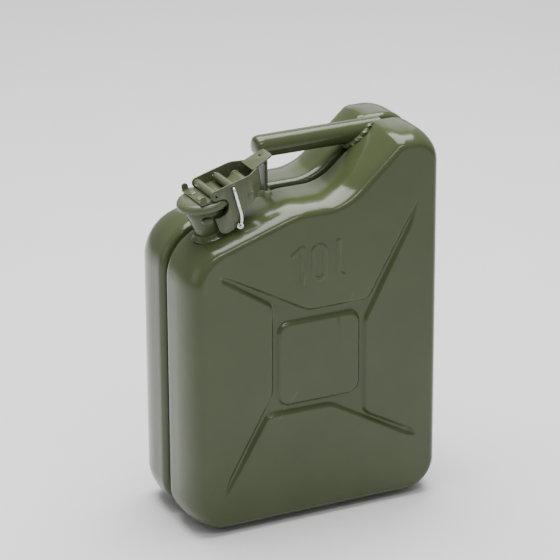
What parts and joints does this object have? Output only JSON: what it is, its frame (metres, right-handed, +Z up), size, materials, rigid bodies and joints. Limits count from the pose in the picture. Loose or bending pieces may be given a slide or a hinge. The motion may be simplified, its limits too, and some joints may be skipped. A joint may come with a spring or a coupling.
{
  "type": "jerry can",
  "caption": "Pressed-steel fuel can with a lever-locked hinged filler cap, a pull-out safety pin and a welded tube carrying handle.",
  "frame": {"origin": "centre of the base, on the floor", "axes": "+Z up, +X along the can's length from the filler neck to the high shoulder, +Y through its thickness from the face beside the filler neck to the other face"},
  "size_m": [0.27, 0.128, 0.381],
  "materials": {
    "can_paint": "glossy",
    "weld_paint": "glossy",
    "fitting_paint": "glossy",
    "pin_zinc": "bright zinc plate",
    "vent_zinc": "bright zinc plate",
    "gasket_rubber": "matt"
  },
  "bodies": {
    "can": {"front_shell": "can_paint", "back_shell": "can_paint", "seam_weld": "weld_paint", "filler_neck": "can_paint", "neck_weld": "weld_paint", "neck_lug_front": "can_paint", "neck_lug_rear": "can_paint", "vent_tube": "vent_zinc", "hinge_bracket": "can_paint", "cap_hinge_pin": "fitting_paint", "carry_handle": "can_paint", "hump_weld": "weld_paint", "foot_weld": "weld_paint"},
    "cap": {"filler_cap": "fitting_paint", "cap_gasket": "gasket_rubber", "cap_inner_plate": "vent_zinc", "cap_rivet_front": "fitting_paint", "cap_rivet_rear": "fitting_paint", "cap_bracket": "fitting_paint"},
    "lever": {"locking_lever": "fitting_paint", "lever_pivot_pin": "fitting_paint", "pin_sleeve": "fitting_paint"},
    "pin": {"safety_pin": "pin_zinc"}
  },
  "joints": [
    {"name": "cap_hinge", "type": "hinge", "parent": "can", "child": "cap", "pos_m": [-0.06545, -0.0275, 0.35072], "axis": [0, 1, 0], "range_deg": [0, 58]},
    {"name": "lever_pivot", "type": "hinge", "parent": "cap", "child": "lever", "pos_m": [-0.10074, -0.0275, 0.34642], "axis": [0, -1, 0], "range_deg": [0, 110]},
    {"name": "safety_pin_slide", "type": "slide", "parent": "lever", "child": "pin", "axis": [0, -1, 0], "range_m": [0, 0.055]}
  ]
}
